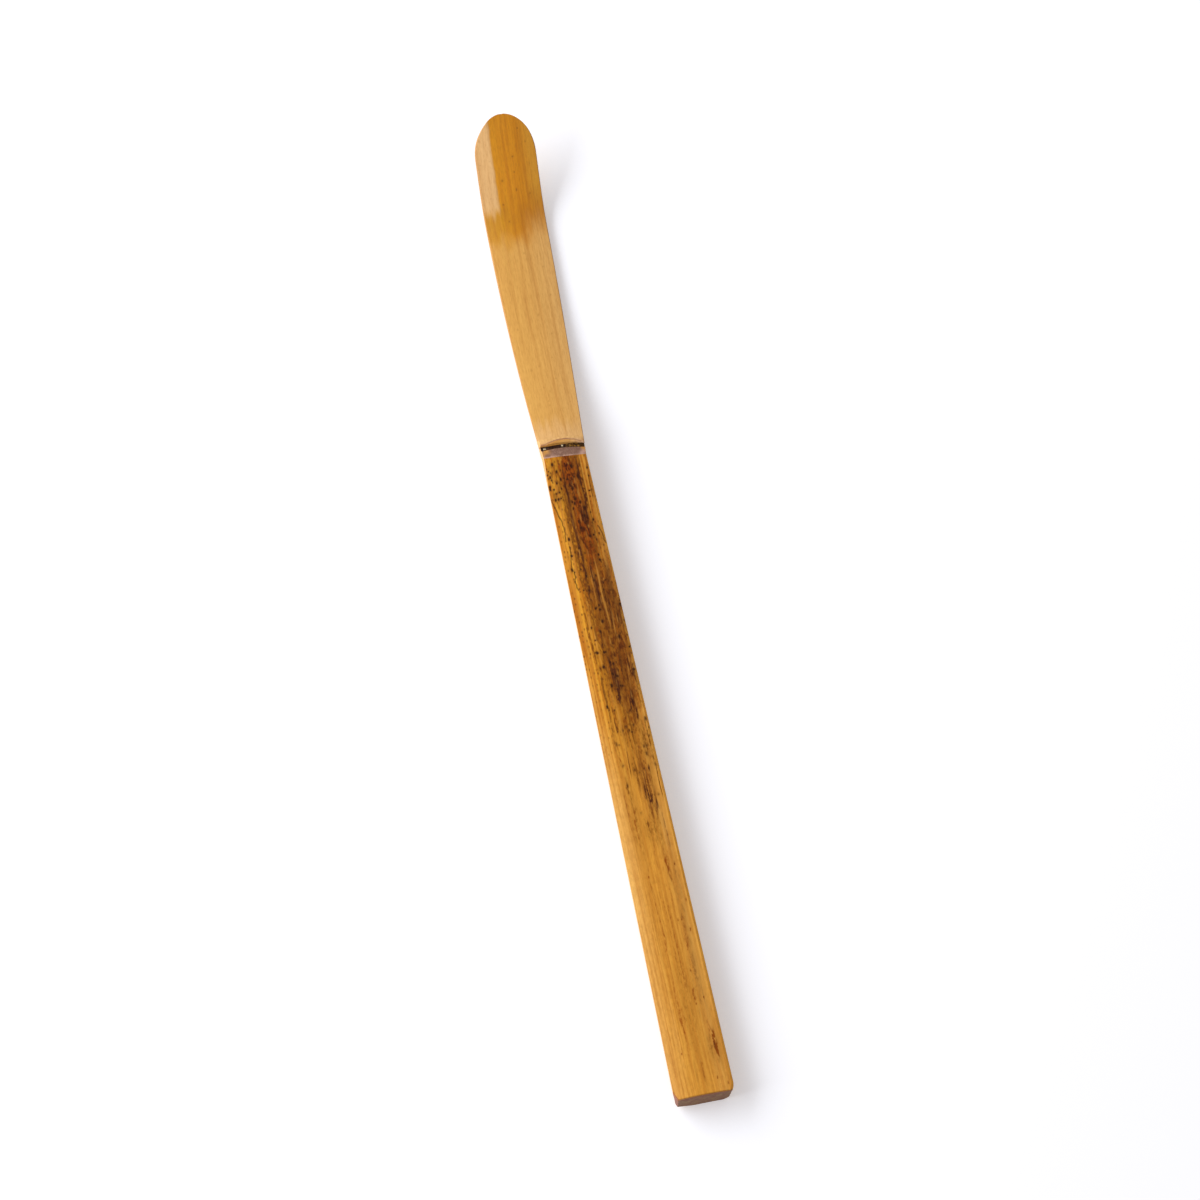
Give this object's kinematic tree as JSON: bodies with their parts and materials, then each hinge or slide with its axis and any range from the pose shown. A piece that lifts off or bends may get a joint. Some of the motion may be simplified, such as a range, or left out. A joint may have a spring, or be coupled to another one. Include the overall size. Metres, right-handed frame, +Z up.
{
  "type": "bamboo tea scoop",
  "caption": "Slender bamboo tea scoop: a flat tapering handle with a node near its middle, a thin blade, and a rounded tip bent up to hold powdered tea.",
  "frame": {"origin": "middle of the bounding box, on the table that the scoop lies on", "axes": "+X across the strip, +Y along it from the cut end of the handle towards the scoop, +Z up, with the skin side up"},
  "size_m": [0.0119, 0.1784, 0.0105],
  "materials": {
    "split_bamboo": "knife-carved and rubbed smooth, satin",
    "smoked_skin": "natural outer skin, mottled amber and dark brown, glossy",
    "node_bloom": "matt grey-brown band below the node",
    "sheath_scar": "near-black scar, waxy",
    "node_ridge": "rubbed golden lip, satin",
    "inner_wall": "dense cross-grain, shaved flush, satin",
    "pale_skin": "bleached outer skin with fine lengthwise grain, browned by heat at the scoop, satin"
  },
  "bodies": {
    "root": {"handle_wood": "split_bamboo", "handle_skin": "smoked_skin", "node_wood": "split_bamboo", "node_band": "node_bloom", "sheath_scar": "sheath_scar", "node_ridge": "node_ridge", "inner_wall_root": "inner_wall", "blade_wood": "split_bamboo", "blade_skin": "pale_skin"}
  },
  "joints": []
}
